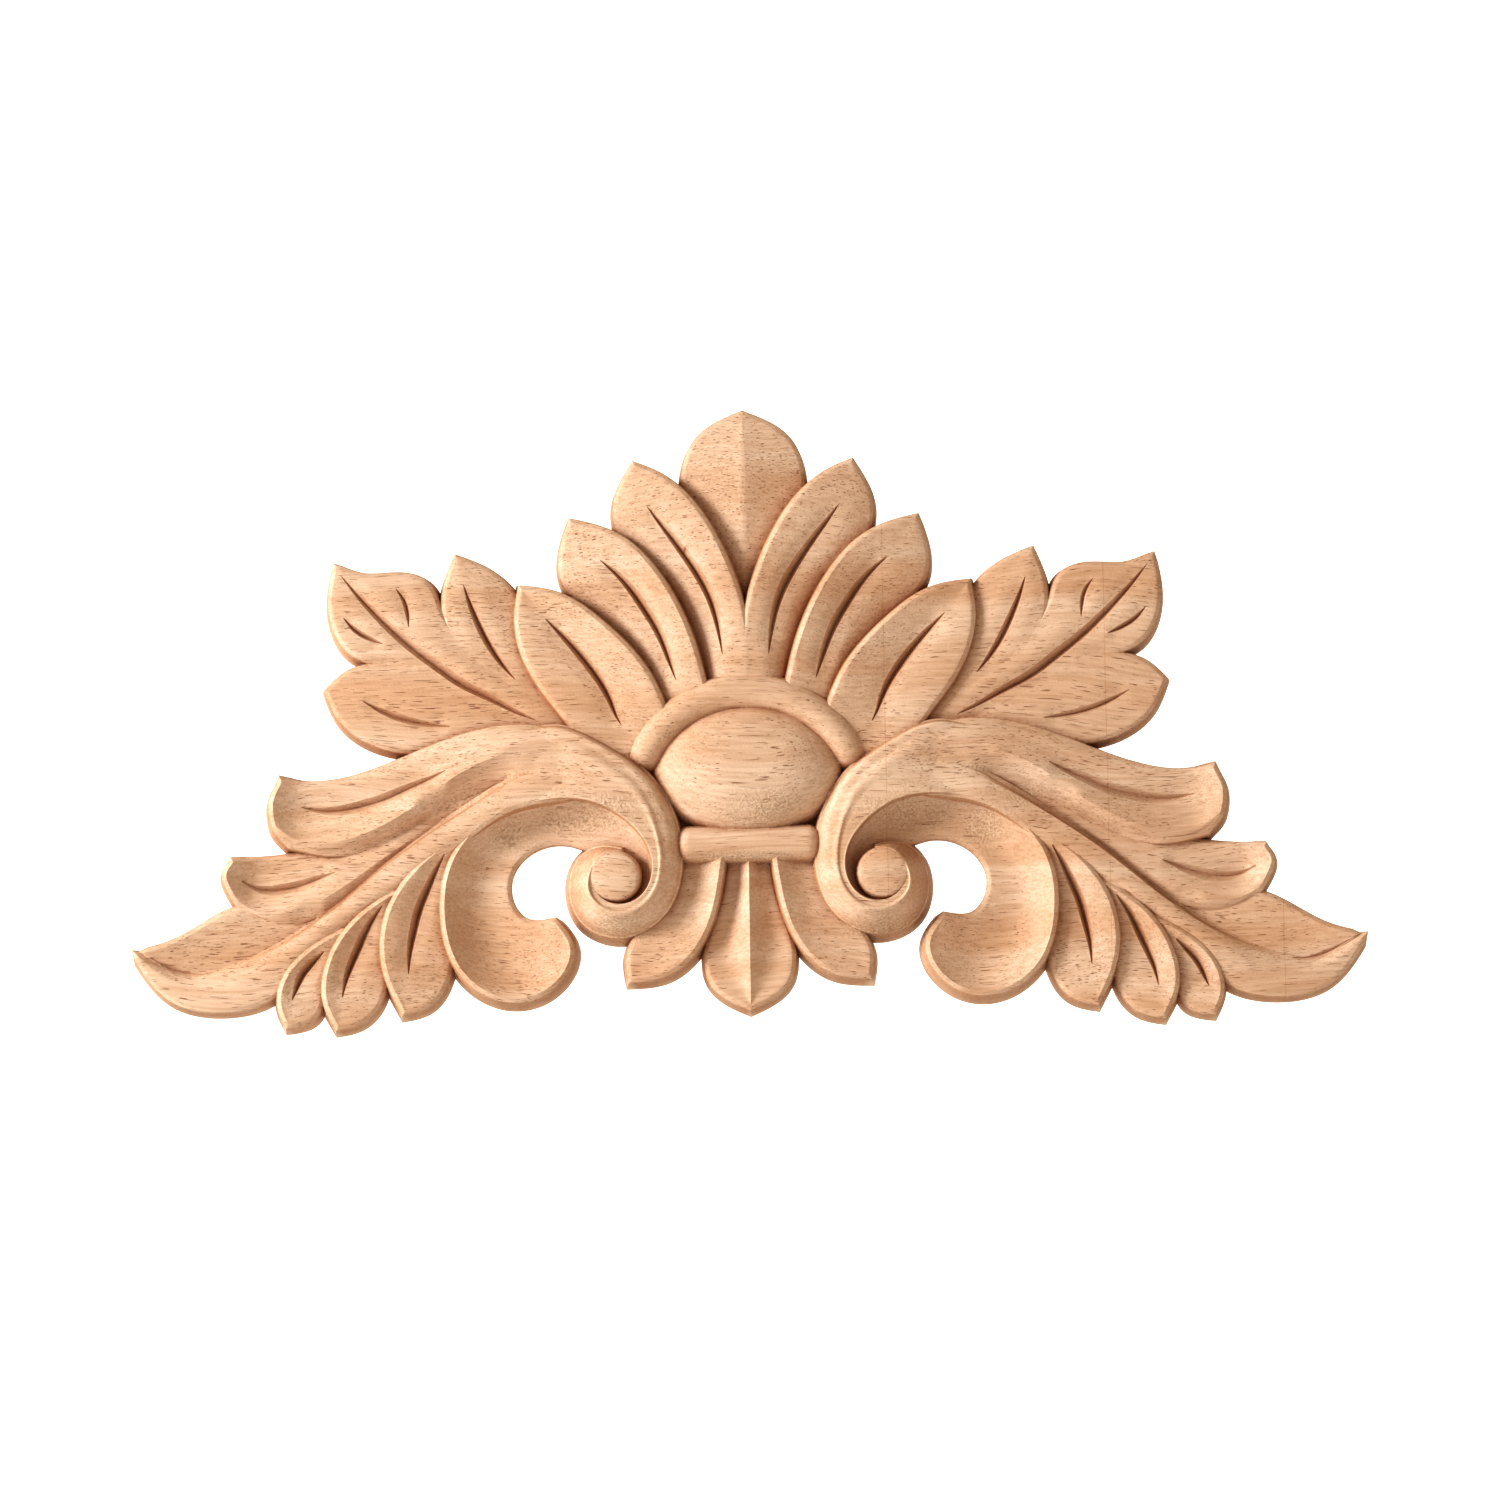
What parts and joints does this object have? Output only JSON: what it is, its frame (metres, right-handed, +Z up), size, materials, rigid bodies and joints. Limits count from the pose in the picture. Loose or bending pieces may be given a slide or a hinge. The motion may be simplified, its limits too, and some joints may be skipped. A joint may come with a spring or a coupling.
{
  "type": "carved wood applique",
  "caption": "Wide pediment-shaped carved wood applique: a fan of leaves over acanthus scrolls around an oval boss, with a flat back for gluing to furniture or a door.",
  "frame": {"origin": "on the flat back face, behind the oval boss, on the plane of symmetry", "axes": "+X across the piece to the viewer's right, +Y out of the flat back into what it is fixed to, so the carved face looks along -Y, +Z up towards the crown leaf"},
  "size_m": [0.3002, 0.0156, 0.1522],
  "materials": {
    "raw_rubberwood": "raw, sanded on the crests, with rough cut end grain on the steep sides"
  },
  "bodies": {
    "root": {"applique": "raw_rubberwood"}
  },
  "joints": []
}
